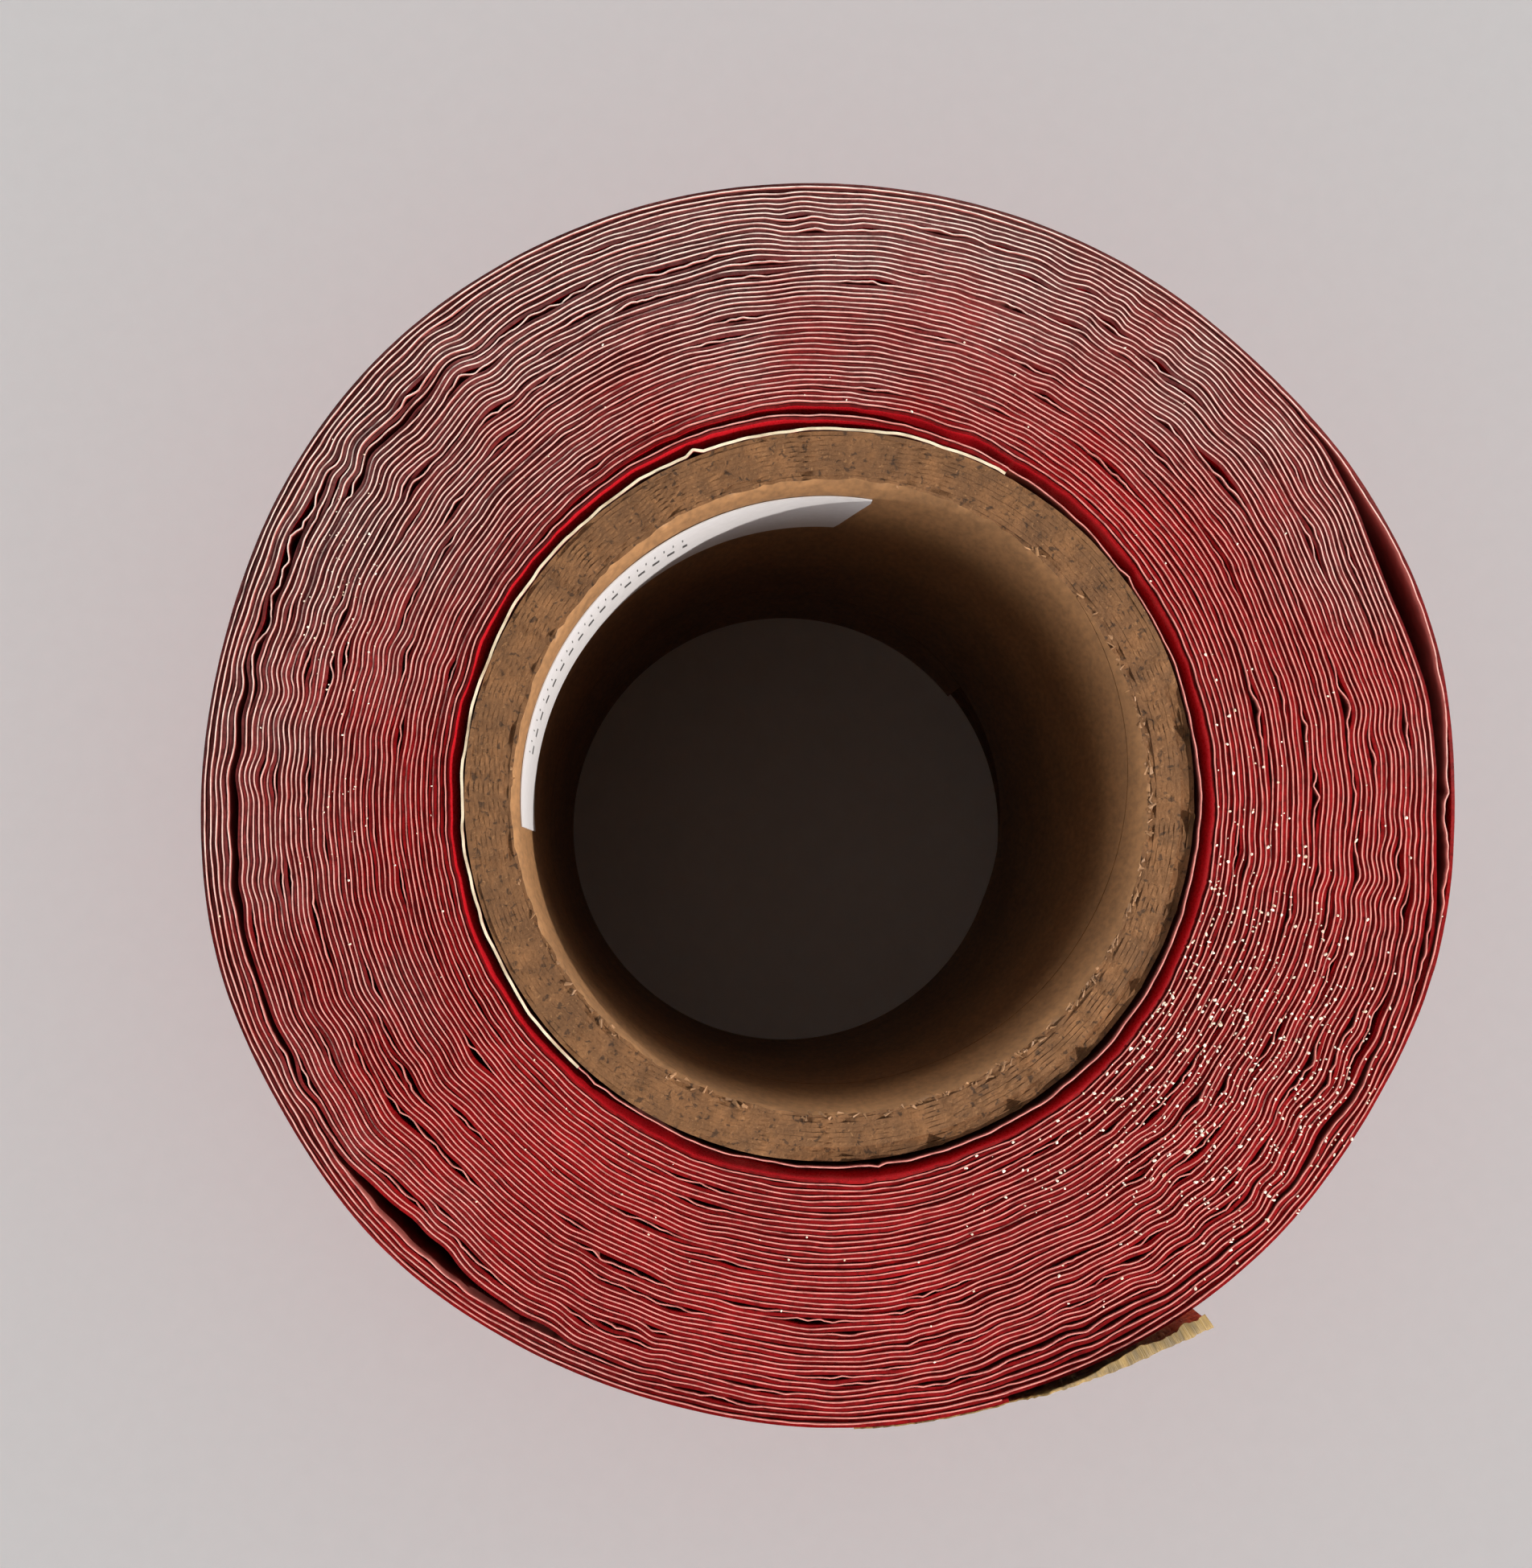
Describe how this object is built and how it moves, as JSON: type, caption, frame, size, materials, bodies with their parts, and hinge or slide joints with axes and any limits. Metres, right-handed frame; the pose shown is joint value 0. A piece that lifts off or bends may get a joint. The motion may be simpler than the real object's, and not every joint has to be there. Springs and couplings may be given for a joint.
{
  "type": "roll of sign vinyl",
  "caption": "Red sign vinyl on its release liner, wound on a paperboard core, with a label in the bore and a masking tape tab on the loose tail.",
  "frame": {"origin": "on the core's axis, in the plane of the bottom end that the roll stands on", "axes": "+Z along the core's axis, up through the bore; the web's tail end and the tape tab are on the -Y side"},
  "size_m": [0.1498, 0.1509, 0.1524],
  "materials": {
    "vinyl_film": "gloss",
    "release_liner": "satin",
    "tube_board": "matte",
    "kraft_facing": "matte",
    "masking_tape": "satin",
    "label_paper": "satin"
  },
  "bodies": {
    "roll": {"core_ply_01": "kraft_facing", "core_ply_02": "tube_board", "core_ply_03": "tube_board", "core_ply_04": "tube_board", "core_ply_05": "tube_board", "core_ply_06": "tube_board", "core_ply_07": "tube_board", "core_ply_08": "tube_board", "core_ply_09": "tube_board", "core_ply_10": "kraft_facing", "core_label": "label_paper", "lead_tape": "masking_tape", "vinyl_film_inner_laps": "vinyl_film", "vinyl_film_middle_lap": "vinyl_film", "vinyl_film_outer_laps": "vinyl_film", "vinyl_film_last_lap": "vinyl_film", "release_liner_wound": "release_liner"},
    "tail_1": {"vinyl_film_tail_1": "vinyl_film", "release_liner_tail_1": "release_liner"},
    "tail_2": {"vinyl_film_tail_2": "vinyl_film", "release_liner_tail_2": "release_liner"},
    "tail_3": {"vinyl_film_tail_3": "vinyl_film", "release_liner_tail_3": "release_liner"},
    "film_end": {"vinyl_film_end": "vinyl_film", "tape_tab_stuck": "masking_tape"},
    "tape_end": {"tape_tab_free": "masking_tape"}
  },
  "joints": [
    {"name": "tail_unroll_1", "type": "hinge", "parent": "roll", "child": "tail_1", "pos_m": [-0.07512, -0.00197, 0.0762], "axis": [0, 0, -1], "range_deg": [0, 30]},
    {"name": "tail_unroll_2", "type": "hinge", "parent": "tail_1", "child": "tail_2", "pos_m": [-0.06434, -0.03943, 0.0762], "axis": [0, 0, -1], "range_deg": [0, 30]},
    {"name": "tail_unroll_3", "type": "hinge", "parent": "tail_2", "child": "tail_3", "pos_m": [-0.03608, -0.06646, 0.0762], "axis": [0, 0, -1], "range_deg": [0, 30]},
    {"name": "film_peel", "type": "hinge", "parent": "tail_3", "child": "film_end", "pos_m": [0.00199, -0.07589, 0.0762], "axis": [0, 0, -1], "range_deg": [0, 90]},
    {"name": "tape_peel", "type": "hinge", "parent": "film_end", "child": "tape_end", "pos_m": [0.02251, -0.07315, 0.1393], "axis": [0, 0, -1], "range_deg": [-4, 120]}
  ],
  "couplings": [
    {"joint": "tail_unroll_2", "follows": "tail_unroll_1", "ratio": 1},
    {"joint": "tail_unroll_3", "follows": "tail_unroll_1", "ratio": 1}
  ]
}
